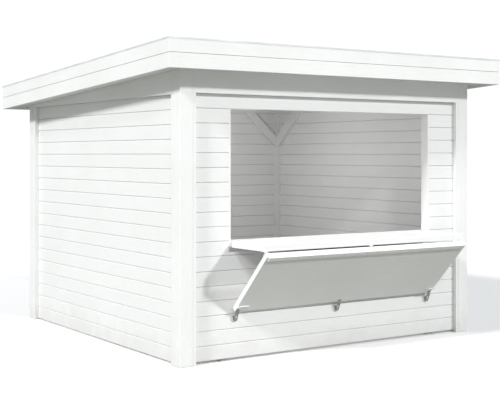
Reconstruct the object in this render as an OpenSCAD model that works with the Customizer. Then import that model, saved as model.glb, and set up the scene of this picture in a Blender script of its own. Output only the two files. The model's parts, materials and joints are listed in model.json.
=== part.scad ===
/* [Kiosk] */
// Width over the corner posts
width = 3150; // [2600:10:4200]
// Depth over the corner posts
depth = 3150; // [2400:10:4200]
// Side of a square corner post
post = 120; // [90:1:150]
// Underside of the beam over the front wall
front_head_z = 2180; // [2150:1:2400]
// Underside of the beams over the side and rear walls
side_head_z = 2170; // [2000:1:2170]
// Thickness of the beams, back from the post faces
beam_t = 120; // [90:1:150]

/* [Walls] */
// Thickness of the wall boards
wall_t = 28; // [18:1:35]
// Set-back of the boards behind the post faces
wall_set = 40; // [30:1:50]
// Gap under the front boards
front_foot = 20; // [5:1:40]
// Gap under the side and rear boards
side_foot = 8; // [5:1:40]
// Width of the corner stile beside each post
stile_w = 30; // [20:1:50]
// Set-back of the stile behind the post face
stile_set = 2; // [1:1:6]

/* [Knee braces] */
// Reach of a brace along the beam
brace_reach = 430; // [300:5:600]
// Drop of a brace down the post
brace_drop = 385; // [300:5:600]
// Width of a brace
brace_w = 90; // [60:1:110]
// Thickness of a brace
brace_t = 45; // [30:1:50]

/* [Serving opening] */
// Clear width between the jamb linings
opening_w = 2175; // [1400:5:2300]
// Shift of the opening to the right of the middle
opening_shift = 12; // [0:1:60]
// Top of the opening
head_z = 2060; // [1900:1:2100]
// Top of the boards under the opening
cut_z = 886; // [820:1:910]
// Thickness of a jamb lining
lining_t = 19; // [12:1:25]
// Side of a jamb post, behind the boards
jamb_w = 60; // [45:1:80]
// Depth of the linings and jamb posts from the board face
jamb_depth = 90; // [80:1:110]
// Top of the sill rail
sill_z = 980; // [975:1:990]
// Height of the sill rail
sill_h = 130; // [100:1:180]
// Thickness of the sill rail
sill_t = 33; // [28:1:36]

/* [Counter and flap] */
// Top of the counter when it is down
counter_top = 976; // [960:1:980]
// Thickness of the counter
counter_t = 50; // [40:1:52]
// Counter from its wall edge to its outer edge
counter_len = 475; // [380:5:560]
// Gap between the counter's wall edge and the boards
counter_gap = 6; // [5:1:10]
// Gap at each end of the counter inside the linings
end_gap = 5; // [5:0.5:12]
// Thickness of the flap
flap_t = 42; // [28:1:45]
// Extra gap at each end of the flap
flap_inset = 6.5; // [0:0.5:20]
// Gap between the flap's free edge and the boards when it braces the counter
brace_gap = 12; // [8:1:30]
// Gap under the closed leaf
foot_gap = 7; // [5:1:12]
// Gap over the closed leaf
head_gap = 7; // [6:1:12]
// How far the closed leaf stands in front of the board face
closed_proud = 1; // [0:1:4]
// Thickness of the cover batten on the flap
batten_t = 12; // [8:1:20]
// Width of the cover batten
batten_w = 40; // [30:1:60]
// Inset of the cover batten from each end of the flap
batten_inset = 17; // [5:1:40]

/* [Hardware] */
// Distance of the flap hinge pin from the faces it joins
pin_off = 4.5; // [4:0.5:8]
// Width of a flap hinge
flap_hinge_w = 34; // [24:1:60]
// Width of a counter hinge
counter_hinge_w = 90; // [60:1:140]
// Distance of the outer counter hinges from the middle one
counter_hinge_step = 800; // [500:10:900]
// Length of a hasp strap from its pin
strap_len = 88; // [70:1:110]
// Width of a hasp strap
strap_w = 35; // [30:1:45]
// Thickness of a hasp strap
strap_t = 3; // [2:0.5:4]
// Lean of a strap away from the line of the flap, in degrees
strap_lean = 21.5; // [15:0.5:30]
// Distance of the outer hasps from the end of the flap
hasp_inset = 3; // [2:1:60]
// Length of a grab handle between its legs
handle_len = 80; // [60:1:140]
// Height of a grab handle off the flap
handle_h = 28; // [24:1:40]
// Distance of a grab handle's middle from the end of the flap
handle_inset = 47; // [40:1:200]

// Distance of a grab handle's feet from the free edge of the flap
handle_up = 52; // [40:1:120]
// Distance that a grab handle leans from its feet towards the counter
handle_lean = 40; // [0:1:50]

/* [Roof] */
// Soffit at the front edge of the roof
eave_z = 2377; // [2377:1:2600]
// Fall of the roof from front to back, in degrees
roof_fall = 3.1; // [1.5:0.1:3.1]
// Overhang of the roof past the post faces
roof_over = 213; // [120:1:300]
// Width of one fascia board
fascia_w = 117; // [100:1:140]
// Thickness of a fascia board
fascia_t = 18; // [15:1:25]
// Gap between the two fascia boards
fascia_gap = 3; // [2:0.5:6]
// How far the fascia reaches below the soffit
fascia_drop = 25; // [15:1:30]
// Thickness of the soffit boards
soffit_t = 18; // [12:1:22]
// Number of roof joists
joist_count = 7; // [5:1:9]
// Width of a joist
joist_w = 45; // [35:1:60]
// Height of a joist
joist_h = 160; // [120:1:170]
// Thickness of the roof deck
deck_t = 18; // [12:1:22]
// Thickness of the roof covering
cover_t = 3; // [2:0.5:5]
// Width of the metal trim over the roof edge
trim_w = 45; // [30:1:70]
// Thickness of the metal trim
trim_t = 2; // [1.5:0.5:3]
// Height of the trim's outer lip
trim_lip = 12; // [8:1:25]

/* [Hidden] */
$fn = 48;

// Lengths from front to back (y) are counted from the front post faces. The
// frame's origin is on the ground under the middle of the whole kiosk, with
// the counter down, so front is where the post faces lie in that frame.
half = width / 2;
edge_y = wall_set - counter_gap;
counter_low = counter_top - counter_t;
outer_y = edge_y - counter_len;
closed_y = wall_set - closed_proud;
leaf_foot = cut_z + foot_gap;

// The counter turns up about the pin from the underside of the counter at its
// wall edge, so that its lower face ends at closed_y and its edge at leaf_foot.
turn_y = (leaf_foot + edge_y + closed_y - counter_low) / 2;
turn_z = (leaf_foot + edge_y - closed_y + counter_low) / 2;

// The flap fills the rest of the opening, and leans back to the wall boards.
flap_len = head_z - head_gap - leaf_foot - counter_len - 2 * pin_off;
fold_y = outer_y - pin_off;
fold_z = counter_low - pin_off;
free_u = pin_off + flap_len;
flap_face = pin_off + flap_t;
flap_slope = acos((wall_set - brace_gap - fold_y) / norm([free_u, pin_off])) - atan(pin_off / free_u);
hatch_x = opening_shift;
counter_w = opening_w - 2 * end_gap;
flap_w = counter_w - 2 * flap_inset;
cover_w = flap_w - 2 * batten_inset;

cut_left = hatch_x - opening_w / 2 - lining_t;
cut_right = hatch_x + opening_w / 2 + lining_t;
jamb_back = wall_set + jamb_depth;
board_back = wall_set + wall_t;

hinge_clear = 1;
seat_gap = 0.03;
reach_front = fold_y + pin_off * cos(flap_slope) - (flap_face + batten_t) * sin(flap_slope);
front = -(depth + roof_over + trim_t + reach_front) / 2;
roof_half = half + roof_over;
roof_back = depth + roof_over;
fascia_h = 2 * fascia_w + fascia_gap;
joist_low = soffit_t;
deck_low = joist_low + joist_h;
cover_low = deck_low + deck_t;
trim_low = fascia_h - fascia_drop + seat_gap;

knuckle_r = 4;
big_knuckle_r = 6;
plate_t = 2;
big_plate_t = 3;
flap_hinge_x = [-1, 0, 1] * ((counter_w - flap_hinge_w) / 2 - 1);
counter_hinge_x = [-1, 0, 1] * counter_hinge_step;
flap_leaf_len = 40;
counter_leaf_len = 80;
bracket_drop = 58;
hasp_x = [-1, 0, 1] * (flap_w / 2 - hasp_inset - strap_w / 2);
strap_pin_u = free_u - knuckle_r;
strap_pin_v = flap_face + plate_t + knuckle_r + hinge_clear;
strap_knuckle_w = 16;
slot_w = 15;
slot_start = 32;
slot_len = 38;
hasp_plate_len = 24;
wire_r = 2;
loop_r = 5.5;
loop_past_strap = 10;
loop_gap = 5.5;
strap_angle = flap_slope + strap_lean;
pin_world = [fold_y + strap_pin_u * cos(flap_slope) - strap_pin_v * sin(flap_slope),
             fold_z - strap_pin_u * sin(flap_slope) - strap_pin_v * cos(flap_slope)];
loop_along = slot_start + slot_len - loop_gap - (loop_r + wire_r) / sin(strap_angle);
loop_z = pin_world[1] - loop_along * sin(strap_angle);
loop_end_y = pin_world[0] + loop_along * cos(strap_angle) - loop_past_strap;
handle_r = 5;
knee_gap = 3.5;
leg_in = 1;
beam_past = max(0, beam_t - post);

function soffit_at(y) = eave_z - (y + roof_over) * tan(roof_fall);

module block(x0, x1, y0, y1, z0, z1) {
  translate([x0, front + y0, z0]) cube([x1 - x0, y1 - y0, z1 - z0]);
}

// A shape drawn from the side, y across and z up, and drawn out from x0 to x1
module side_profile(x0, x1, points) {
  translate([x0, front, 0]) rotate([90, 0, 90]) linear_extrude(x1 - x0) polygon(points);
}

// A layer that follows the roof, between two heights over the soffit's underside
module roof_layer(x0, x1, y0, y1, low, high) {
  side_profile(x0, x1, [
    [y0, soffit_at(y0) + low], [y1, soffit_at(y1) + low],
    [y1, soffit_at(y1) + high], [y0, soffit_at(y0) + high]
  ]);
}

// A timber with a level foot at z0 and a top cut to the underside of the joists
module timber_to_roof(x0, x1, y0, y1, z0) {
  side_profile(x0, x1, [
    [y0, z0], [y1, z0],
    [y1, soffit_at(y1) + joist_low], [y0, soffit_at(y0) + joist_low]
  ]);
}

module corner_post(x0, y0) {
  color("white") timber_to_roof(x0, x0 + post, y0, y0 + post, 0);
}

module post_front_left() { corner_post(-half, 0); }
module post_front_right() { corner_post(half - post, 0); }
module post_rear_left() { corner_post(-half, depth - post); }
module post_rear_right() { corner_post(half - post, depth - post); }

module front_beam() {
  color("whitesmoke") {
    timber_to_roof(-half + post, half - post, 0, beam_t - beam_past, front_head_z);
    if (beam_past > 0) timber_to_roof(-half + beam_t, half - beam_t, post, beam_t, front_head_z);
  }
}

module rear_beam() {
  color("whitesmoke") {
    timber_to_roof(-half + post, half - post, depth - beam_t + beam_past, depth, side_head_z);
    if (beam_past > 0)
      timber_to_roof(-half + beam_t, half - beam_t, depth - beam_t, depth - post, side_head_z);
  }
}

module side_beam(x0) {
  color("whitesmoke") timber_to_roof(x0, x0 + beam_t, post, depth - post, side_head_z);
}

module left_beam() { side_beam(-half); }
module right_beam() { side_beam(half - beam_t); }

// Narrow strips that stand in the corner between each post and the boards
module corner_stiles() {
  color("white") {
    for (x = [-half + post, half - post - stile_w]) {
      block(x, x + stile_w, stile_set, wall_set, 0, front_head_z);
      block(x, x + stile_w, depth - wall_set, depth - stile_set, 0, side_head_z);
    }
    for (x = [-half + stile_set, half - wall_set])
      for (y = [post, depth - post - stile_w])
        block(x, x + wall_set - stile_set, y, y + stile_w, 0, side_head_z);
  }
}

// A brace in the corner between a post, at 0, and a beam over it, at height 0
module knee_brace() {
  lean = atan2(brace_drop, brace_reach);
  translate([0, brace_t / 2, 0]) rotate([90, 0, 0]) linear_extrude(brace_t) polygon([
    [0, -brace_drop], [brace_reach, 0],
    [brace_reach - brace_w / sin(lean), 0], [0, -brace_drop + brace_w / cos(lean)]
  ]);
}

module place_brace(x, y, turn) {
  translate([x, front + y, side_head_z]) rotate([0, 0, turn]) knee_brace();
}

module knee_braces() {
  mid = board_back + knee_gap + brace_t / 2;
  color("whitesmoke") {
    place_brace(-half + post, depth - mid, 0);
    place_brace(half - post, depth - mid, 180);
    for (x = [-half + mid, half - mid]) {
      place_brace(x, post, 90);
      place_brace(x, depth - post, -90);
    }
  }
}

module front_boards(x0, x1, z0, z1) {
  color("white") block(x0, x1, wall_set, board_back, z0, z1);
}

module front_wall_left() { front_boards(-half + post, cut_left, front_foot, front_head_z); }
module front_wall_right() { front_boards(cut_right, half - post, front_foot, front_head_z); }
module front_wall_header() { front_boards(cut_left, cut_right, head_z, front_head_z); }
module front_wall_apron() { front_boards(cut_left, cut_right, front_foot, cut_z); }

module side_wall(x0) {
  color("white") block(x0, x0 + wall_t, post, depth - post, side_foot, side_head_z);
}

module left_wall() { side_wall(-half + wall_set); }
module right_wall() { side_wall(half - board_back); }

module rear_wall() {
  color("white")
    block(-half + post, half - post, depth - board_back, depth - wall_set, side_foot, side_head_z);
}

module jamb_posts() {
  color("whitesmoke") for (x = [cut_left - jamb_w, cut_right])
    block(x, x + jamb_w, board_back, jamb_back, 0, front_head_z);
}

module jamb_linings() {
  color("white") for (x = [cut_left, cut_right - lining_t])
    block(x, x + lining_t, wall_set, jamb_back, counter_low + 4, head_z);
}

// The rail behind the closed leaf, notched at its ends for the linings
module sill_rail() {
  color("white") {
    block(cut_left, cut_right, jamb_back - sill_t, jamb_back, sill_z - sill_h, counter_low + 4);
    block(cut_left + lining_t, cut_right - lining_t, jamb_back - sill_t, jamb_back,
          counter_low + 4, sill_z);
  }
}

module roof_joists() {
  first = -roof_half + fascia_t;
  step = (2 * (roof_half - fascia_t) - joist_w) / (joist_count - 1);
  color("burlywood") for (i = [0 : joist_count - 1])
    roof_layer(first + i * step, first + i * step + joist_w,
               -roof_over + fascia_t, roof_back - fascia_t, joist_low, deck_low);
}

module roof_deck() {
  color("burlywood")
    roof_layer(-roof_half + fascia_t, roof_half - fascia_t,
               -roof_over + fascia_t, roof_back - fascia_t, deck_low, cover_low);
}

module roof_covering() {
  color("dimgray")
    roof_layer(-roof_half + fascia_t, roof_half - fascia_t,
               -roof_over + fascia_t, roof_back - fascia_t, cover_low, cover_low + cover_t);
}

// A metal angle over the top edge of the fascia, all round
module roof_trim() {
  out = roof_half + trim_t;
  in = out - trim_w;
  first = -roof_over - trim_t;
  last = roof_back + trim_t;
  color("silver") difference() {
    roof_layer(-out, out, first, last, trim_low - trim_lip, trim_low + trim_t);
    roof_layer(-roof_half, roof_half, -roof_over, roof_back, trim_low - trim_lip - 1, trim_low);
    roof_layer(-in, in, first + trim_w, last - trim_w, trim_low - 1, trim_low + trim_t + 1);
  }
}

// Boards under the overhang: two across the full width and two between them
module soffit() {
  in_x = roof_half - fascia_t;
  color("whitesmoke") {
    roof_layer(-in_x, in_x, -roof_over + fascia_t, 0, 0, soffit_t);
    roof_layer(-in_x, in_x, depth, roof_back - fascia_t, 0, soffit_t);
    for (x = [-in_x, half])
      roof_layer(x, x + in_x - half, hinge_clear, depth - hinge_clear, 0, soffit_t);
  }
}

// Two boards one over the other along an edge of the roof
module fascia_boards(x0, x1, y0, y1) {
  color("white") for (low = [-fascia_drop, fascia_w + fascia_gap - fascia_drop])
    roof_layer(x0, x1, y0, y1, low, low + fascia_w);
}

module cross_fascia(y0) { fascia_boards(-roof_half, roof_half, y0, y0 + fascia_t); }

module side_fascia(x0) {
  fascia_boards(x0, x0 + fascia_t, -roof_over + fascia_t, roof_back - fascia_t);
}

module fascia_front() { cross_fascia(-roof_over); }
module fascia_rear() { cross_fascia(roof_back - fascia_t); }
module fascia_left() { side_fascia(-roof_half); }
module fascia_right() { side_fascia(roof_half - fascia_t); }

module counter() {
  color("white")
    block(hatch_x - counter_w / 2, hatch_x + counter_w / 2, outer_y, edge_y, counter_low, counter_top);
}

// The flap's own frame: origin on its hinge pin, y down along the flap towards
// its free edge, and z out of the face that turns to the wall
module on_flap() {
  translate([hatch_x, front + fold_y, fold_z]) rotate([-flap_slope, 0, 0]) children();
}

module flap() {
  color("white") on_flap() translate([-flap_w / 2, pin_off, -flap_face])
    cube([flap_w, flap_len, flap_t]);
}

module flap_cover_batten() {
  color("white") on_flap() translate([-cover_w / 2, pin_off, -flap_face - batten_t])
    cube([cover_w, batten_w, batten_t]);
}

module knuckle(x0, x1, r) {
  translate([x0, 0, 0]) rotate([0, 90, 0]) cylinder(r = r, h = x1 - x0);
}

// Plates on the boards under the opening, with arms out to the counter's pins
module counter_hinge_brackets() {
  arm_w = counter_hinge_w / 3;
  foot = [wall_set - turn_y - 1.5, cut_z - 4 - turn_z];
  along = foot / norm(foot);
  across = [-along[1], along[0]];
  color("silver") for (x = counter_hinge_x) {
    block(hatch_x + x - counter_hinge_w / 2, hatch_x + x + counter_hinge_w / 2,
          wall_set - big_plate_t, wall_set, cut_z - 2 - bracket_drop, cut_z - 2);
    for (s = [-counter_hinge_w / 2, counter_hinge_w / 2 - arm_w + hinge_clear])
      translate([hatch_x + x + s, front + turn_y, turn_z]) {
        knuckle(0, arm_w - hinge_clear, big_knuckle_r);
        rotate([90, 0, 90]) linear_extrude(arm_w - hinge_clear)
          polygon([across * -3, foot + across * -3, foot + across * 1, across * 1]);
      }
  }
}

// Leaves of both sets of hinges, screwed under the counter
module counter_hinge_leaves() {
  web_w = counter_hinge_w / 3 - hinge_clear;
  side = flap_hinge_w / 3;
  color("silver") {
    for (x = counter_hinge_x) {
      block(hatch_x + x - counter_hinge_w / 2, hatch_x + x + counter_hinge_w / 2,
            edge_y - counter_leaf_len, turn_y + 4, counter_low - big_plate_t, counter_low);
      block(hatch_x + x - web_w / 2, hatch_x + x + web_w / 2,
            turn_y - 4, turn_y + 4, turn_z, counter_low - big_plate_t);
      translate([hatch_x + x - web_w / 2, front + turn_y, turn_z])
        knuckle(0, web_w, big_knuckle_r);
    }
    for (x = flap_hinge_x) {
      block(hatch_x + x - flap_hinge_w / 2, hatch_x + x + flap_hinge_w / 2,
            outer_y, outer_y + flap_leaf_len, counter_low - plate_t, counter_low);
      for (s = [-flap_hinge_w / 2, flap_hinge_w / 2 - side + hinge_clear]) {
        block(hatch_x + x + s, hatch_x + x + s + side - hinge_clear,
              fold_y, outer_y, counter_low - plate_t, counter_low);
        translate([hatch_x + x + s, front + fold_y, fold_z])
          knuckle(0, side - hinge_clear, knuckle_r);
      }
    }
  }
}

module flap_hinge_leaves() {
  mid = flap_hinge_w / 3 - hinge_clear;
  start = pin_off + hinge_clear;
  color("silver") on_flap() for (x = flap_hinge_x) {
    translate([x - mid / 2, 0, 0]) knuckle(0, mid, knuckle_r);
    translate([x - mid / 2, 0, -pin_off]) cube([mid, start, plate_t]);
    translate([x - flap_hinge_w / 2, start, -pin_off])
      cube([flap_hinge_w, flap_leaf_len, plate_t]);
  }
}

// Plates on the outer face of the flap that carry the pins of the hasp straps
module hasp_plates() {
  lug_w = (strap_w - strap_knuckle_w) / 2 - hinge_clear;
  color("silver") on_flap() for (x = hasp_x) {
    translate([x - strap_w / 2, strap_pin_u - hasp_plate_len, -flap_face - plate_t])
      cube([strap_w, hasp_plate_len, plate_t]);
    for (s = [-strap_w / 2, strap_w / 2 - lug_w]) {
      translate([x + s, strap_pin_u, -strap_pin_v]) knuckle(0, lug_w, knuckle_r);
      translate([x + s, strap_pin_u - knuckle_r, -strap_pin_v])
        cube([lug_w, knuckle_r, strap_pin_v - flap_face]);
    }
  }
}

// A strap with a long slot, hanging from its pin at an angle to the flap
module hasp_strap(x) {
  color("dimgray") on_flap() translate([x, strap_pin_u, -strap_pin_v]) rotate([-strap_lean, 0, 0]) {
    translate([-strap_knuckle_w / 2, 0, 0]) knuckle(0, strap_knuckle_w, knuckle_r);
    translate([-strap_knuckle_w / 2, 0, -strap_t / 2]) cube([strap_knuckle_w, 12, strap_t]);
    translate([0, 0, -strap_t / 2]) linear_extrude(strap_t) difference() {
      union() {
        translate([-strap_w / 2, knuckle_r + 2]) square([strap_w, strap_len - strap_w / 2 - knuckle_r - 2]);
        translate([0, strap_len - strap_w / 2]) circle(d = strap_w);
      }
      translate([-slot_w / 2, slot_start + slot_w / 2]) square([slot_w, slot_len - slot_w]);
      for (y = [slot_start + slot_w / 2, slot_start + slot_len - slot_w / 2])
        translate([0, y]) circle(d = slot_w);
    }
  }
}

module hasp_strap_left() { hasp_strap(hasp_x[0]); }
module hasp_strap_middle() { hasp_strap(hasp_x[1]); }
module hasp_strap_right() { hasp_strap(hasp_x[2]); }

// Wire loops on the wall boards that pass through the slots of the straps
module hasp_staples() {
  bend_y = loop_end_y + loop_r + wire_r;
  color("silver") for (x = hasp_x) {
    block(hatch_x + x - 14, hatch_x + x + 14, wall_set - plate_t, wall_set, loop_z - 20, loop_z + 20);
    translate([hatch_x + x, front + bend_y, loop_z]) {
      rotate([180, -90, 0]) rotate_extrude(angle = 180) translate([loop_r, 0]) circle(r = wire_r);
      for (z = [-loop_r, loop_r])
        translate([0, 0, z]) rotate([-90, 0, 0])
          cylinder(r = wire_r, h = wall_set - plate_t + leg_in - bend_y);
    }
  }
}

// Bars that lean up the flap from the feet of their two legs
module grab_handles() {
  rise = handle_h - handle_r;
  leg = norm([handle_lean, rise]) + 2 * handle_r;
  color("white") on_flap() for (side = [-1, 1])
    translate([side * (flap_w / 2 - handle_inset), free_u - handle_up - handle_lean, -flap_face]) {
      translate([-handle_len / 2, 0, -rise]) knuckle(0, handle_len, handle_r);
      difference() {
        for (x = [-handle_len / 2, handle_len / 2]) translate([x, 0, -rise]) {
          sphere(handle_r);
          rotate([-atan2(handle_lean, rise), 0, 0]) cylinder(r = handle_r, h = leg);
        }
        translate([-handle_len, 0, 0]) cube([2 * handle_len, handle_lean + leg, 2 * leg]);
      }
    }
}

post_front_left();
post_front_right();
post_rear_left();
post_rear_right();
front_beam();
rear_beam();
left_beam();
right_beam();
corner_stiles();
knee_braces();
front_wall_left();
front_wall_right();
front_wall_header();
front_wall_apron();
left_wall();
right_wall();
rear_wall();
jamb_posts();
jamb_linings();
sill_rail();
roof_joists();
roof_deck();
roof_covering();
roof_trim();
soffit();
fascia_front();
fascia_rear();
fascia_left();
fascia_right();
counter();
flap();
flap_cover_batten();
counter_hinge_brackets();
counter_hinge_leaves();
flap_hinge_leaves();
hasp_plates();
hasp_strap_left();
hasp_strap_middle();
hasp_strap_right();
hasp_staples();
grab_handles();
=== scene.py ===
"""Street kiosk: boards, eased timbers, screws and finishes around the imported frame."""

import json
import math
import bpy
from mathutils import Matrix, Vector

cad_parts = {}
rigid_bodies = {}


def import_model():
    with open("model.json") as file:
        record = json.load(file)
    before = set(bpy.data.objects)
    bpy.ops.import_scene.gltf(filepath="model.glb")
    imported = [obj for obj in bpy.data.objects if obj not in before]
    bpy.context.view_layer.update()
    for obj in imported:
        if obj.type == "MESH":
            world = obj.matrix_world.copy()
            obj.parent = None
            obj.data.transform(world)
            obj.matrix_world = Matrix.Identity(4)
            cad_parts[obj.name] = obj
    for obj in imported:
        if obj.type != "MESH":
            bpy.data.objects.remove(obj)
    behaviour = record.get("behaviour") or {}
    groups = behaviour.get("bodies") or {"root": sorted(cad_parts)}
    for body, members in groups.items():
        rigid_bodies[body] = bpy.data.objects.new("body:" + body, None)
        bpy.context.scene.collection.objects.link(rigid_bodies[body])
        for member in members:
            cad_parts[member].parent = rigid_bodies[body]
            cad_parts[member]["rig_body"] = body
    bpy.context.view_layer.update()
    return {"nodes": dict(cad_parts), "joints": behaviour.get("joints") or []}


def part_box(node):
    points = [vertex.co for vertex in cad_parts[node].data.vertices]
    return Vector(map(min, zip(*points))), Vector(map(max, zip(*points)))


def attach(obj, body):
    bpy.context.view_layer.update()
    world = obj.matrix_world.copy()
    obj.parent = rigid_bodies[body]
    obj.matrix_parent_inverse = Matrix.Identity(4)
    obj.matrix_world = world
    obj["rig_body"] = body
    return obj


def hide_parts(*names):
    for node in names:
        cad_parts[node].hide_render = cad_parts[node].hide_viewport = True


bl_info = {
    "name": "Street kiosk",
    "version": (1, 0, 0),
    "blender": (4, 5, 0),
    "location": "View3D > Sidebar > Kiosk",
    "description": "Builds a timber street kiosk's boards, fixings and finishes around its frame",
    "category": "Object",
}

import bmesh
import bpy
from mathutils import Vector

for leftover in list(bpy.data.objects):
    bpy.data.objects.remove(leftover)
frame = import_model()
NODES = frame["nodes"]
JOINTS = {joint["name"]: joint for joint in frame["joints"]}

# Metres, unless the name says otherwise
TONGUE_HEIGHT = 0.012
TONGUE_SHARE = 0.3
END_CLEARANCE = 0.002
COUNTER_SCREW_EDGE = 0.022
COUNTER_SCREW_END = 0.06
BATTEN_SCREW_END = 0.045
FASCIA_BOARD = 0.117
FASCIA_SCREW_INSET = 0.03
FASCIA_SCREW_END = 0.08
FASCIA_SCREW_PITCH = 0.58
SCREW_HEIGHT = 0.0012
FLOOR_REACH = 60.0
FLOOR_DROP = 0.001
FLOOR_BOUNCE = (0.268, 0.274, 0.25)
CAMERA_FROM_CORNER = Vector((-4.1118, -7.267, 1.6862))
CAMERA_TURN = math.radians(-34.2235)
CAMERA_LENS = 75.96
CAMERA_SHIFT = (-0.034, -0.0908)

FRONT_BOARDS = ("front_wall_left", "front_wall_right", "front_wall_header", "front_wall_apron")
LONG_BOARDS = ("rear_wall",)
SIDE_BOARDS = ("left_wall", "right_wall")
UPRIGHTS = ("post_front_left", "post_front_right", "post_rear_left", "post_rear_right",
            "corner_stiles", "jamb_posts", "jamb_linings")
CROSS_TIMBERS = ("front_beam", "rear_beam", "sill_rail", "fascia_front", "fascia_rear")
DEEP_TIMBERS = ("left_beam", "right_beam", "fascia_left", "fascia_right", "soffit", "roof_joists")
LEAF_TIMBERS = ("counter", "flap", "flap_cover_batten")
PAINTED_METAL = ("counter_hinge_brackets", "counter_hinge_leaves", "flap_hinge_leaves",
                 "grab_handles")
ZINC_METAL = ("hasp_plates", "hasp_strap_left", "hasp_strap_middle", "hasp_strap_right",
              "hasp_staples")


def body_of(node):
    return NODES[node]["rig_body"]


class KioskSettings(bpy.types.PropertyGroup):
    """Sizes and colours that a user would change"""

    course: bpy.props.FloatProperty(
        name="Course", description="Height of one wall board",
        default=0.12, min=0.06, max=0.2, unit="LENGTH")
    groove: bpy.props.FloatProperty(
        name="Groove", description="Chamfer along each long edge of a wall board",
        default=0.0045, min=0.001, max=0.008, unit="LENGTH")
    board_gap: bpy.props.FloatProperty(
        name="Board gap", description="Open joint between two wall boards, backed by a tongue",
        default=0.002, min=0.0, max=0.006, unit="LENGTH")
    least_course: bpy.props.FloatProperty(
        name="Least course", description="A strip lower than this is part of the board below it",
        default=0.02, min=0.005, max=0.05, unit="LENGTH")
    post_easing: bpy.props.FloatProperty(
        name="Post easing", description="Rounding of the edges of posts and beams",
        default=0.0035, min=0.001, max=0.01, unit="LENGTH")
    board_easing: bpy.props.FloatProperty(
        name="Board easing", description="Rounding of the edges of fascia boards and trim",
        default=0.0022, min=0.001, max=0.006, unit="LENGTH")
    leaf_easing: bpy.props.FloatProperty(
        name="Leaf easing", description="Rounding of the edges of the counter and the flap",
        default=0.0025, min=0.001, max=0.008, unit="LENGTH")
    screw_radius: bpy.props.FloatProperty(
        name="Screw head radius", description="Radius of a screw head in timber",
        default=0.005, min=0.002, max=0.01, unit="LENGTH")
    screw_pitch: bpy.props.FloatProperty(
        name="Screw pitch", description="Distance between screws along the counter and the batten",
        default=0.12, min=0.05, max=0.3, unit="LENGTH")
    sheet_run: bpy.props.FloatProperty(
        name="Sheet run", description="Width of roofing that one sheet leaves open to the weather",
        default=0.9, min=0.3, max=1.2, unit="LENGTH")
    sheet_lap: bpy.props.FloatProperty(
        name="Sheet lap", description="Overlap of one roofing sheet on the next",
        default=0.1, min=0.05, max=0.2, unit="LENGTH")
    paint: bpy.props.FloatVectorProperty(
        name="Paint", description="Colour of the painted timber",
        subtype="COLOR", default=(0.86, 0.862, 0.858), min=0.0, max=1.0)
    roofing: bpy.props.FloatVectorProperty(
        name="Roofing", description="Colour of the roofing sheets",
        subtype="COLOR", default=(0.055, 0.058, 0.062), min=0.0, max=1.0)
    zinc: bpy.props.FloatVectorProperty(
        name="Zinc", description="Colour of the weathered zinc on hasps and staples",
        subtype="COLOR", default=(0.36, 0.365, 0.37), min=0.0, max=1.0)
    floor: bpy.props.FloatVectorProperty(
        name="Floor", description="Colour of the studio floor",
        subtype="COLOR", default=(0.98, 0.98, 0.98), min=0.0, max=1.0)


class Shader:
    """A material's node tree, with short ways to add and join its nodes."""

    def __init__(self, name, colour, roughness, metallic=0.0):
        self.material = bpy.data.materials.new(name)
        self.material.use_nodes = True
        self.tree = self.material.node_tree
        self.surface = self.tree.nodes["Principled BSDF"]
        self.surface.inputs["Base Color"].default_value = (*colour, 1.0)
        self.surface.inputs["Roughness"].default_value = roughness
        self.surface.inputs["Metallic"].default_value = metallic
        self.place = self.add("ShaderNodeTexCoord").outputs["Object"]

    def add(self, kind, links=(), **settings):
        node = self.tree.nodes.new(kind)
        for key, value in settings.items():
            setattr(node, key, value)
        for socket, value in dict(links).items():
            self.feed(node.inputs[socket], value)
        return node

    def feed(self, socket, value):
        if isinstance(value, bpy.types.NodeSocket):
            self.tree.links.new(value, socket)
        else:
            socket.default_value = value

    def stretched(self, scale):
        mapping = self.add("ShaderNodeMapping", {"Vector": self.place, "Scale": scale})
        return mapping.outputs["Vector"]

    def noise(self, scale, detail=3.0, rough=0.55, vector=None):
        node = self.add("ShaderNodeTexNoise", {
            "Vector": self.place if vector is None else vector,
            "Scale": scale, "Detail": detail, "Roughness": rough})
        return node.outputs["Fac"]

    def ramp(self, value, low, high, out_low=0.0, out_high=1.0):
        node = self.add("ShaderNodeMapRange", {
            "Value": value, "From Min": low, "From Max": high,
            "To Min": out_low, "To Max": out_high})
        return node.outputs["Result"]

    def math(self, operation, a, b=0.0):
        return self.add("ShaderNodeMath", {0: a, 1: b}, operation=operation).outputs["Value"]

    def mix(self, factor, a, b):
        node = self.add("ShaderNodeMix", data_type="RGBA")
        self.feed(node.inputs[0], factor)
        self.feed(node.inputs[6], a)
        self.feed(node.inputs[7], b)
        return node.outputs[2]

    def along(self, axis):
        split = self.add("ShaderNodeSeparateXYZ", {"Vector": self.place})
        return split.outputs[axis]

    def bump(self, height, distance, strength=1.0, base=None):
        links = {"Height": height, "Distance": distance, "Strength": strength}
        if base is not None:
            links["Normal"] = base
        return self.add("ShaderNodeBump", links).outputs["Normal"]

    def finish(self, colour=None, roughness=None, normal=None):
        for name, value in (("Base Color", colour), ("Roughness", roughness), ("Normal", normal)):
            if value is not None:
                self.tree.links.new(value, self.surface.inputs[name])
        return self.material


def shade_of(colour, factor, tint=(1.0, 1.0, 1.0)):
    return (*(channel * factor * t for channel, t in zip(colour, tint)), 1.0)


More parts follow.
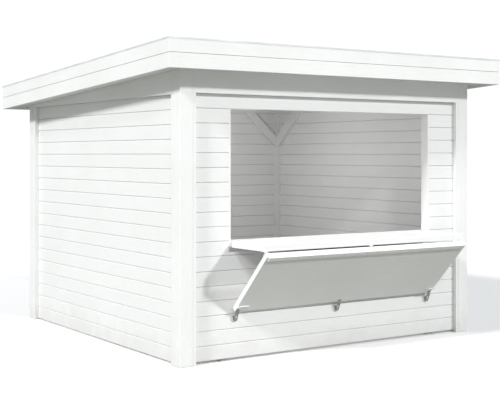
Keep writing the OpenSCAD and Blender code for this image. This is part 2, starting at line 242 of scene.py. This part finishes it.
def painted_wood(name, colour, grain_axis, course=0.0, base_z=0.0):
    """Brushed white paint over sawn softwood, its grain along one axis of the kiosk."""
    shader = Shader(name, colour, 0.42)
    stretch = [1.0 if axis == grain_axis else 16.0 for axis in range(3)]
    grain_place = shader.stretched(stretch)
    grain = shader.noise(7.0, 6.0, 0.62, grain_place)
    brush = shader.noise(38.0, 2.0, 0.5, grain_place)
    cloud = shader.noise(1.7, 3.0)
    tone = shader.math("MULTIPLY", cloud, grain)
    colour_node = shader.mix(shader.ramp(tone, 0.16, 0.38),
                             shade_of(colour, 0.965, (1.0, 0.997, 0.99)), shade_of(colour, 1.02))
    if course:
        row = shader.math("FLOOR", shader.math(
            "DIVIDE", shader.math("SUBTRACT", shader.along("Z"), base_z), course))
        chance = shader.add("ShaderNodeTexWhiteNoise", {"W": row}, noise_dimensions="1D")
        colour_node = shader.mix(shader.ramp(chance.outputs["Value"], 0.0, 1.0, 0.0, 0.5),
                                 colour_node, shade_of(colour, 0.965, (0.995, 1.0, 1.005)))
    dirt_edge = shader.math("ADD", shader.along("Z"), shader.ramp(
        shader.noise(9.0, 4.0), 0.3, 0.7, -0.09, 0.09))
    dirt = shader.ramp(dirt_edge, 0.02, 0.22, 0.16, 0.0)
    colour_node = shader.mix(dirt, colour_node, shade_of(colour, 0.62, (1.0, 0.96, 0.88)))
    roughness = shader.ramp(brush, 0.3, 0.7, 0.36, 0.52)
    normal = shader.bump(grain, 0.0005, 0.4)
    normal = shader.bump(brush, 0.0002, 0.4, normal)
    return shader.finish(colour_node, roughness, normal)


def roofing_felt(name, colour):
    """Mineral roofing felt: fine granules with paler worn patches."""
    shader = Shader(name, colour, 0.9)
    granule = shader.noise(900.0, 2.0, 0.7)
    patch = shader.noise(2.2, 5.0, 0.6)
    speckle = shader.ramp(granule, 0.35, 0.65)
    colour_node = shader.mix(speckle, shade_of(colour, 0.65), shade_of(colour, 1.5))
    colour_node = shader.mix(shader.ramp(patch, 0.45, 0.8, 0.0, 0.4), colour_node,
                             shade_of(colour, 2.4, (1.0, 0.99, 0.96)))
    return shader.finish(colour_node, shader.ramp(granule, 0.3, 0.7, 0.8, 0.97),
                         shader.bump(granule, 0.0009, 0.8))


def painted_steel(name, colour):
    """White paint on rolled steel, with a faint orange peel and darker stains."""
    shader = Shader(name, colour, 0.34)
    peel = shader.noise(420.0, 2.0, 0.5)
    stain = shader.noise(30.0, 5.0, 0.65)
    colour_node = shader.mix(shader.ramp(stain, 0.5, 0.78, 0.0, 0.5),
                             shade_of(colour, 1.0), shade_of(colour, 0.72, (1.0, 0.97, 0.92)))
    return shader.finish(colour_node, shader.ramp(stain, 0.3, 0.7, 0.28, 0.48),
                         shader.bump(peel, 0.0003, 0.5))


def weathered_zinc(name, colour):
    """Dull zinc on steel, with spangle and darker streaks."""
    shader = Shader(name, colour, 0.48, metallic=0.6)
    spangle = shader.add("ShaderNodeTexVoronoi", {"Vector": shader.place, "Scale": 140.0})
    streak = shader.noise(22.0, 6.0, 0.7, shader.stretched((2.5, 1.0, 1.0)))
    colour_node = shader.mix(shader.ramp(spangle.outputs["Distance"], 0.0, 0.8),
                             shade_of(colour, 0.8), shade_of(colour, 1.35))
    colour_node = shader.mix(shader.ramp(streak, 0.48, 0.75, 0.0, 0.6), colour_node,
                             shade_of(colour, 0.5, (1.0, 0.94, 0.86)))
    return shader.finish(colour_node, shader.ramp(streak, 0.3, 0.7, 0.38, 0.62),
                         shader.bump(streak, 0.0004, 0.5))


def milled_aluminium(name, colour):
    """Rolled aluminium edging with fine lines along the sheet."""
    shader = Shader(name, colour, 0.4, metallic=0.3)
    lines = shader.noise(60.0, 4.0, 0.6, shader.stretched((1.0, 1.0, 30.0)))
    dull = shader.noise(4.0, 4.0, 0.6)
    colour_node = shader.mix(shader.ramp(dull, 0.35, 0.7), shade_of(colour, 0.88),
                             shade_of(colour, 1.08))
    return shader.finish(colour_node, shader.ramp(lines, 0.3, 0.7, 0.3, 0.48),
                         shader.bump(lines, 0.0002, 0.4))


def studio_floor(name, colour):
    """A matt pale studio floor that throws little light back up."""
    shader = Shader(name, colour, 0.95)
    mottle = shader.noise(0.6, 3.0)
    pale = shader.mix(mottle, shade_of(colour, 0.99), shade_of(colour, 1.0))
    path = shader.add("ShaderNodeLightPath")
    return shader.finish(shader.mix(path.outputs["Is Camera Ray"], (*FLOOR_BOUNCE, 1.0), pale))


FINISHES = {}


def finish_for(kind):
    """The one material of each finish, made when it is first asked for."""
    if kind in FINISHES:
        return FINISHES[kind]
    settings = bpy.context.scene.kiosk
    paint = tuple(settings.paint)
    makers = {
        "upright paint": lambda n: painted_wood(n, paint, 2),
        "cross paint": lambda n: painted_wood(n, paint, 0),
        "deep paint": lambda n: painted_wood(n, paint, 1),
        "front boards": lambda n: painted_wood(
            n, paint, 0, settings.course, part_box("front_wall_left")[0].z),
        "side boards": lambda n: painted_wood(
            n, paint, 1, settings.course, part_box("left_wall")[0].z),
        "roofing felt": lambda n: roofing_felt(n, tuple(settings.roofing)),
        "painted steel": lambda n: painted_steel(n, tuple(c * 0.97 for c in paint)),
        "weathered zinc": lambda n: weathered_zinc(n, tuple(settings.zinc)),
        "screw paint": lambda n: painted_steel(n, tuple(c * 0.62 for c in paint)),
        "milled aluminium": lambda n: milled_aluminium(n, (0.84, 0.85, 0.86)),
        "studio floor": lambda n: studio_floor(n, tuple(settings.floor)),
    }
    FINISHES[kind] = makers[kind](kind)
    return FINISHES[kind]


class Nodes:
    """A Geometry Nodes tree with named inputs, and short ways to add and join its nodes."""

    def __init__(self, name, inputs):
        self.tree = bpy.data.node_groups.new(name, "GeometryNodeTree")
        self.tree.is_modifier = True
        self.tree.interface.new_socket("Geometry", in_out="INPUT", socket_type="NodeSocketGeometry")
        for label, kind, default in inputs:
            socket = self.tree.interface.new_socket(
                label, in_out="INPUT", socket_type="NodeSocket" + kind)
            if default is not None:
                socket.default_value = default
        self.tree.interface.new_socket(
            "Geometry", in_out="OUTPUT", socket_type="NodeSocketGeometry")
        self.given = self.tree.nodes.new("NodeGroupInput").outputs

    def add(self, kind, links=(), **settings):
        node = self.tree.nodes.new("GeometryNode" + kind)
        return self.dress(node, links, settings)

    def function(self, kind, links=(), **settings):
        node = self.tree.nodes.new(kind)
        return self.dress(node, links, settings)

    def dress(self, node, links, settings):
        for key, value in settings.items():
            setattr(node, key, value)
        for socket, value in dict(links).items():
            if isinstance(value, bpy.types.NodeSocket):
                self.tree.links.new(value, node.inputs[socket])
            else:
                node.inputs[socket].default_value = value
        return node

    def attribute(self, name, kind="FLOAT"):
        node = self.add("InputNamedAttribute", {"Name": name}, data_type=kind)
        return node.outputs["Attribute"]

    def end(self, geometry):
        real = self.add("RealizeInstances", {"Geometry": geometry})
        painted = self.add("SetMaterial", {
            "Geometry": real.outputs["Geometry"], "Material": self.given["Material"]})
        out = self.tree.nodes.new("NodeGroupOutput")
        self.tree.links.new(painted.outputs["Geometry"], out.inputs["Geometry"])
        return self.tree


def board_tree():
    """One box on each point: its height is the point's own, its length and depth are inputs."""
    nodes = Nodes("Board courses", [("Length", "Float", 1.0), ("Thickness", "Float", 0.028),
                                    ("Along Y", "Bool", False), ("Material", "Material", None)])
    across = nodes.function("ShaderNodeCombineXYZ", {
        "X": nodes.given["Length"], "Y": nodes.given["Thickness"], "Z": 1.0})
    deep = nodes.function("ShaderNodeCombineXYZ", {
        "X": nodes.given["Thickness"], "Y": nodes.given["Length"], "Z": 1.0})
    size = nodes.add("Switch", {"Switch": nodes.given["Along Y"], "False": across.outputs[0],
                                "True": deep.outputs[0]}, input_type="VECTOR")
    box = nodes.add("MeshCube", {"Size": size.outputs["Output"]})
    scale = nodes.function("ShaderNodeCombineXYZ", {
        "X": 1.0, "Y": 1.0, "Z": nodes.attribute("height")})
    placed = nodes.add("InstanceOnPoints", {
        "Points": nodes.given["Geometry"], "Instance": box.outputs["Mesh"],
        "Scale": scale.outputs[0]})
    return nodes.end(placed.outputs["Instances"])


def screw_tree():
    """A round head with a drive recess on each point, turned to the point's facing vector."""
    nodes = Nodes("Screw heads", [("Radius", "Float", 0.0045), ("Height", "Float", 0.0012),
                                  ("Material", "Material", None)])
    rim = nodes.function("ShaderNodeMath", {0: nodes.given["Radius"], 1: 0.72},
                         operation="MULTIPLY")
    head = nodes.add("MeshCone", {
        "Vertices": 14, "Radius Top": rim.outputs[0], "Radius Bottom": nodes.given["Radius"],
        "Depth": nodes.given["Height"]}, fill_type="NGON")
    inner = nodes.add("ExtrudeMesh", {
        "Mesh": head.outputs["Mesh"], "Selection": head.outputs["Top"], "Offset Scale": 0.0})
    drawn_in = nodes.add("ScaleElements", {
        "Geometry": inner.outputs["Mesh"], "Selection": inner.outputs["Top"], "Scale": 0.5})
    sunk = nodes.function("ShaderNodeMath", {0: nodes.given["Height"], 1: -0.8},
                          operation="MULTIPLY")
    recess = nodes.add("ExtrudeMesh", {
        "Mesh": drawn_in.outputs["Geometry"], "Selection": inner.outputs["Top"],
        "Offset Scale": sunk.outputs[0]})
    turned = nodes.function("FunctionNodeAlignRotationToVector", {
        "Vector": nodes.attribute("facing", "FLOAT_VECTOR")}, axis="Z")
    placed = nodes.add("InstanceOnPoints", {
        "Points": nodes.given["Geometry"], "Instance": recess.outputs["Mesh"],
        "Rotation": turned.outputs["Rotation"]})
    return nodes.end(placed.outputs["Instances"])


def sheet_tree():
    """Lapped sheets: one thin box on each point, tipped a little to lie on the next."""
    nodes = Nodes("Lapped sheets", [("Size", "Vector", (1.0, 1.0, 0.004)),
                                    ("Tip", "Float", 0.0), ("Material", "Material", None)])
    box = nodes.add("MeshCube", {"Size": nodes.given["Size"]})
    turn = nodes.function("ShaderNodeCombineXYZ", {"X": nodes.given["Tip"]})
    placed = nodes.add("InstanceOnPoints", {
        "Points": nodes.given["Geometry"], "Instance": box.outputs["Mesh"],
        "Rotation": turn.outputs[0]})
    return nodes.end(placed.outputs["Instances"])


def points_object(name, points, **attributes):
    """A mesh of loose points, with an attribute value for each point."""
    mesh = bpy.data.meshes.new(name)
    mesh.from_pydata([tuple(p) for p in points], [], [])
    for key, values in attributes.items():
        vector = hasattr(values[0], "__len__")
        layer = mesh.attributes.new(key, "FLOAT_VECTOR" if vector else "FLOAT", "POINT")
        flat = [c for v in values for c in v] if vector else values
        layer.data.foreach_set("vector" if vector else "value", flat)
    piece = bpy.data.objects.new(name, mesh)
    bpy.context.scene.collection.objects.link(piece)
    return piece


def grow(piece, tree, **values):
    """Runs a Geometry Nodes tree on the piece and keeps the result as its plain mesh."""
    modifier = piece.modifiers.new(tree.name, "NODES")
    modifier.node_group = tree
    sockets = {item.name: item.identifier for item in tree.interface.items_tree
               if item.in_out == "INPUT"}
    for label, value in values.items():
        modifier[sockets[label.replace("_", " ")]] = value
    depsgraph = bpy.context.evaluated_depsgraph_get()
    grown = bpy.data.meshes.new_from_object(piece.evaluated_get(depsgraph))
    piece.modifiers.clear()
    piece.data = grown
    grown.name = piece.name
    return piece


def reshape(piece, work):
    """Runs a bmesh step on the piece's own mesh."""
    shape = bmesh.new()
    shape.from_mesh(piece.data)
    work(shape)
    shape.to_mesh(piece.data)
    shape.free()
    piece.data.update()


def long_edges(shape, axis):
    return [e for e in shape.edges
            if abs((e.verts[1].co - e.verts[0].co).normalized()[axis]) > 0.99]


def settle(piece, node, material=None):
    """The piece stands for a CAD node: it rides with the node's body, takes the given material if
    there is one, and hides the node.
    """
    if material is not None:
        piece.data.materials.clear()
        piece.data.materials.append(material)
    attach(piece, body_of(node))
    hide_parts(node)


def eased_copy(node, width, material):
    """A copy of a timber with rounded edges, in place of its sharp CAD node."""
    mesh = NODES[node].data.copy()
    piece = bpy.data.objects.new(node + "_timber", mesh)
    bpy.context.scene.collection.objects.link(piece)

    def ease(shape):
        bmesh.ops.remove_doubles(shape, verts=shape.verts, dist=1e-5)
        bmesh.ops.dissolve_limit(shape, angle_limit=math.radians(1), verts=shape.verts,
                                 edges=shape.edges)
        sharp = [e for e in shape.edges
                 if len(e.link_faces) == 2 and e.calc_face_angle(0) > math.radians(25)]
        bmesh.ops.bevel(shape, geom=sharp, offset=width, segments=2, profile=0.6,
                        affect="EDGES", clamp_overlap=True)

    reshape(piece, ease)
    if "custom_normal" in mesh.attributes:
        mesh.attributes.remove(mesh.attributes["custom_normal"])
    mesh.shade_flat()
    settle(piece, node, material)
    return piece


def paint_node(node, material):
    mesh = NODES[node].data
    mesh.materials.clear()
    mesh.materials.append(material)


class KIOSK_OT_wall_boards(bpy.types.Operator):
    """Lays the walls' boards in level courses with a groove at each joint"""

    bl_idname = "kiosk.wall_boards"
    bl_label = "Wall boards"

    def lay(self, node, base_z, deep, material):
        settings = context_settings()
        low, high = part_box(node)
        edges = [low.z]
        count = math.floor((low.z - base_z) / settings.course + 1e-4) + 1
        while base_z + count * settings.course < high.z - settings.least_course:
            edges.append(base_z + count * settings.course)
            count += 1
        edges.append(high.z)
        middle = (low + high) / 2
        gap = settings.board_gap
        courses = [(a + (gap / 2 if a > low.z else 0.0), b - (gap / 2 if b < high.z else 0.0))
                   for a, b in zip(edges, edges[1:])]
        points = [(middle.x, middle.y, (a + b) / 2) for a, b in courses]
        heights = [b - a for a, b in courses]
        run, thickness = (high.y - low.y, high.x - low.x) if deep else (
            high.x - low.x, high.y - low.y)
        piece = points_object(node + "_boards", points, height=heights)
        grow(piece, self.tree, Length=run, Thickness=thickness, Along_Y=deep, Material=material)
        axis = 1 if deep else 0
        reshape(piece, lambda shape: bmesh.ops.bevel(
            shape, geom=long_edges(shape, axis), offset=settings.groove, segments=1,
            affect="EDGES", clamp_overlap=True))
        settle(piece, node)
        joints = edges[1:-1]
        if joints:
            tongues = points_object(node + "_tongues", [(middle.x, middle.y, z) for z in joints],
                                    height=[TONGUE_HEIGHT] * len(joints))
            grow(tongues, self.tree, Length=run - END_CLEARANCE, Thickness=thickness * TONGUE_SHARE,
                 Along_Y=deep, Material=material)
            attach(tongues, body_of(node))

    def execute(self, context):
        self.tree = board_tree()
        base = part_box("front_wall_left")[0].z
        for node in FRONT_BOARDS + LONG_BOARDS:
            start = base if node in FRONT_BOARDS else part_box(node)[0].z
            self.lay(node, start, False, finish_for("front boards"))
        for node in SIDE_BOARDS:
            self.lay(node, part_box(node)[0].z, True, finish_for("side boards"))
        return {"FINISHED"}


class KIOSK_OT_timbers(bpy.types.Operator):
    """Eases the edges of posts, beams, braces, linings and roof boards"""

    bl_idname = "kiosk.timbers"
    bl_label = "Timbers"

    def execute(self, context):
        settings = context_settings()
        for node in UPRIGHTS + ("knee_braces",):
            fine = node in ("corner_stiles", "jamb_linings")
            eased_copy(node, settings.board_easing if fine else settings.post_easing,
                       finish_for("upright paint"))
        for node in CROSS_TIMBERS:
            eased_copy(node, settings.board_easing, finish_for("cross paint"))
        for node in DEEP_TIMBERS:
            eased_copy(node, settings.board_easing, finish_for("deep paint"))
        paint_node("roof_deck", finish_for("cross paint"))
        return {"FINISHED"}


class KIOSK_OT_leaves(bpy.types.Operator):
    """Eases the edges of the counter, its flap and the cover batten"""

    bl_idname = "kiosk.leaves"
    bl_label = "Counter and flap"

    def execute(self, context):
        for node in LEAF_TIMBERS:
            eased_copy(node, context_settings().leaf_easing, finish_for("cross paint"))
        return {"FINISHED"}


class KIOSK_OT_roofing(bpy.types.Operator):
    """Lays lapped roofing sheets and finishes the metal edge"""

    bl_idname = "kiosk.roofing"
    bl_label = "Roofing"

    def execute(self, context):
        settings = context_settings()
        low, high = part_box("roof_covering")
        middle = (low.x + high.x) / 2
        deck_low, deck_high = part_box("roof_deck")
        thickness = high.z - deck_high.z
        depth = high.y - low.y
        fall = (deck_high.z - deck_low.z - self.deck_thickness()) / depth
        run, lap = settings.sheet_run, settings.sheet_lap
        slope = -math.atan(fall)
        tip = slope + thickness / run
        positions, lengths = [], []
        back = high.y
        while back - low.y > lap:
            front = max(low.y, back - run - lap)
            centre = (front + back) / 2
            positions.append((middle, centre, high.z - (centre - low.y) * fall))
            lengths.append(back - front)
            back -= run
        full = [i for i, length in enumerate(lengths) if abs(length - run - lap) < 1e-6]
        groups = [("full", full)] if full else []
        groups += [("front", [i]) for i in range(len(lengths)) if i not in full]
        tree = sheet_tree()
        for name, group in groups:
            sheet = points_object(f"roof_sheets_{name}_{group[0]}", [positions[i] for i in group])
            grow(sheet, tree, Size=(high.x - low.x, lengths[group[0]], thickness), Tip=tip,
                 Material=finish_for("roofing felt"))
            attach(sheet, body_of("roof_covering"))
        paint_node("roof_covering", finish_for("roofing felt"))
        paint_node("roof_trim", finish_for("milled aluminium"))
        return {"FINISHED"}

    def deck_thickness(self):
        heights = sorted({round(v.co.z, 4) for v in NODES["roof_deck"].data.vertices
                          if abs(v.co.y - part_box("roof_deck")[0].y) < 1e-4})
        return heights[-1] - heights[0]


class KIOSK_OT_fixings(bpy.types.Operator):
    """Finishes the hinges, hasps and handles, and sets screws in the counter, the cover batten and
    the fascia
    """

    bl_idname = "kiosk.fixings"
    bl_label = "Fixings"

    def row(self, low, high, pitch):
        count = max(2, round((high - low) / pitch) + 1)
        return [low + (high - low) * i / (count - 1) for i in range(count)]

    def execute(self, context):
        for node in PAINTED_METAL:
            paint_node(node, finish_for("painted steel"))
        for node in ZINC_METAL:
            paint_node(node, finish_for("weathered zinc"))
        settings = context_settings()
        self.tree = screw_tree()
        radius, pitch = settings.screw_radius, settings.screw_pitch
        low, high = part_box("counter")
        edge = low.y + COUNTER_SCREW_EDGE
        self.drive("counter_screws", "counter", radius, "screw paint",
                   [(x, edge, high.z) for x in self.row(
                       low.x + COUNTER_SCREW_END, high.x - COUNTER_SCREW_END, pitch)],
                   (0, 0, 1))
        self.batten_screws(radius, pitch)
        self.fascia_screws(radius)
        return {"FINISHED"}

    def drive(self, name, node, radius, finish, points, facing, lift=0.0004):
        direction = Vector(facing).normalized()
        points = [Vector(p) + direction * lift for p in points]
        piece = points_object(name, points, facing=[tuple(direction)] * len(points))
        grow(piece, self.tree, Radius=radius, Height=SCREW_HEIGHT, Material=finish_for(finish))
        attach(piece, body_of(node))

    def batten_screws(self, radius, pitch):
        slope, pin = flap_frame()
        down = Vector((0, math.cos(slope), -math.sin(slope)))
        out = Vector((0, -math.sin(slope), -math.cos(slope)))
        corners = [v.co - pin for v in NODES["flap_cover_batten"].data.vertices]
        along = [c.dot(down) for c in corners]
        face = max(c.dot(out) for c in corners)
        middle = (min(along) + max(along)) / 2
        low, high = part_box("flap_cover_batten")
        points = [Vector((x, pin.y, pin.z)) + down * middle + out * face
                  for x in self.row(low.x + BATTEN_SCREW_END, high.x - BATTEN_SCREW_END, pitch)]
        self.drive("batten_screws", "flap_cover_batten", radius, "screw paint", points, out)

    def fascia_screws(self, radius):
        for node, facing in (("fascia_front", (0, -1, 0)), ("fascia_rear", (0, 1, 0)),
                             ("fascia_left", (-1, 0, 0)), ("fascia_right", (1, 0, 0))):
            axis = 1 if facing[0] else 0
            sign = facing[0] + facing[1]
            points = []
            for low, high in solid_boxes(node):
                for place in self.row(low[axis] + FASCIA_SCREW_END,
                                      high[axis] - FASCIA_SCREW_END, FASCIA_SCREW_PITCH):
                    share = (place - low[axis]) / (high[axis] - low[axis])
                    fall = (high.z - low.z - FASCIA_BOARD) if axis == 1 else 0.0
                    top = high.z - fall * share
                    for z in (top - FASCIA_SCREW_INSET, top - FASCIA_BOARD + FASCIA_SCREW_INSET):
                        face = (high if sign > 0 else low)[1 - axis]
                        points.append((face, place, z) if axis == 1 else (place, face, z))
            self.drive(node + "_screws", node, radius * 0.8, "painted steel", points, facing,
                       lift=0.0)


def solid_boxes(node):
    """The box of each separate solid of a CAD node."""
    shape = bmesh.new()
    shape.from_mesh(NODES[node].data)
    bmesh.ops.remove_doubles(shape, verts=shape.verts, dist=1e-5)
    seen, boxes = set(), []
    for vert in shape.verts:
        if vert in seen:
            continue
        group, queue = [], [vert]
        seen.add(vert)
        while queue:
            current = queue.pop()
            group.append(current.co.copy())
            for edge in current.link_edges:
                other = edge.other_vert(current)
                if other not in seen:
                    seen.add(other)
                    queue.append(other)
        boxes.append((Vector(map(min, *group)), Vector(map(max, *group))))
    shape.free()
    return boxes


def flap_frame():
    """The flap's slope under the level and the place of its hinge pin."""
    pin = Vector(JOINTS["flap_hinge"]["pos_m"])
    slope = math.pi - math.radians(JOINTS["flap_hinge"]["range_deg"][1])
    return slope, pin


class KIOSK_OT_stage(bpy.types.Operator):
    """Sets the floor, the lights and the camera"""

    bl_idname = "kiosk.stage"
    bl_label = "Stage"

    def light(self, name, kind, energy, direction, size, place=None):
        data = bpy.data.lights.new(name, kind)
        data.energy = energy
        if kind == "SUN":
            data.angle = size
        else:
            data.shadow_soft_size = size
        lamp = bpy.data.objects.new(name, data)
        lamp.rotation_mode = "QUATERNION"
        lamp.rotation_quaternion = Vector(direction).to_track_quat("-Z", "Y")
        lamp.location = place or (0, 0, 6)
        lamp.visible_camera = False
        bpy.context.scene.collection.objects.link(lamp)

    def execute(self, context):
        mesh = bpy.data.meshes.new("studio_floor")
        mesh.from_pydata([(x * FLOOR_REACH, y * FLOOR_REACH, 0)
                          for x, y in ((-1, -1), (1, -1), (1, 1), (-1, 1))], [], [(0, 1, 2, 3)])
        floor = bpy.data.objects.new("studio_floor", mesh)
        floor.location.z = -FLOOR_DROP
        mesh.materials.append(finish_for("studio floor"))
        context.scene.collection.objects.link(floor)

        self.light("right_key", "SUN", 1.6, (-0.55, 1.0, -0.65), math.radians(5))
        self.light("left_key", "SUN", 0.66, (1.0, 2.24, -1.4), math.radians(5))
        self.light("left_fill", "SUN", 2.7, (1.0, 0.22, -0.72), math.radians(8))
        self.light("room_fill", "POINT", 25.0, (0, 0, -1), 0.3, (0.0, 0.2, 1.7))
        world = context.scene.world or bpy.data.worlds.new("studio")
        context.scene.world = world
        world.use_nodes = True
        tree = world.node_tree
        background = tree.nodes["Background"]
        background.inputs["Color"].default_value = (0.93, 0.975, 1.0, 1.0)
        path = tree.nodes.new("ShaderNodeLightPath")
        strength = tree.nodes.new("ShaderNodeMapRange")
        strength.inputs["To Min"].default_value = 0.46
        strength.inputs["To Max"].default_value = 1.12
        tree.links.new(path.outputs["Is Camera Ray"], strength.inputs["Value"])
        tree.links.new(strength.outputs["Result"], background.inputs["Strength"])

        camera = bpy.data.objects.new("camera", bpy.data.cameras.new("camera"))
        camera.data.lens = CAMERA_LENS
        camera.data.sensor_width = 36.0
        camera.data.shift_x, camera.data.shift_y = CAMERA_SHIFT
        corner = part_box("post_front_left")[0]
        camera.location = Vector((corner.x, corner.y, 0.0)) + CAMERA_FROM_CORNER
        camera.rotation_euler = (math.radians(90), 0, CAMERA_TURN)
        context.scene.collection.objects.link(camera)
        context.scene.camera = camera
        context.scene.view_settings.view_transform = "Standard"
        return {"FINISHED"}


class KIOSK_PT_panel(bpy.types.Panel):
    """Lists the kiosk's building steps and settings"""

    bl_idname = "KIOSK_PT_panel"
    bl_label = "Kiosk"
    bl_space_type = "VIEW_3D"
    bl_region_type = "UI"
    bl_category = "Kiosk"

    def draw(self, context):
        for operator in OPERATORS:
            self.layout.operator(operator.bl_idname)
        for name in KioskSettings.__annotations__:
            self.layout.prop(context.scene.kiosk, name)


OPERATORS = (KIOSK_OT_wall_boards, KIOSK_OT_timbers, KIOSK_OT_leaves, KIOSK_OT_roofing,
             KIOSK_OT_fixings, KIOSK_OT_stage)


def context_settings():
    return bpy.context.scene.kiosk


def register():
    for kind in (KioskSettings, *OPERATORS, KIOSK_PT_panel):
        bpy.utils.register_class(kind)
    bpy.types.Scene.kiosk = bpy.props.PointerProperty(type=KioskSettings)


def unregister():
    del bpy.types.Scene.kiosk
    for kind in reversed((KioskSettings, *OPERATORS, KIOSK_PT_panel)):
        bpy.utils.unregister_class(kind)


def main():
    register()
    for operator in OPERATORS:
        family, name = operator.bl_idname.split(".")
        getattr(getattr(bpy.ops, family), name)()


if __name__ == "__main__":
    main()
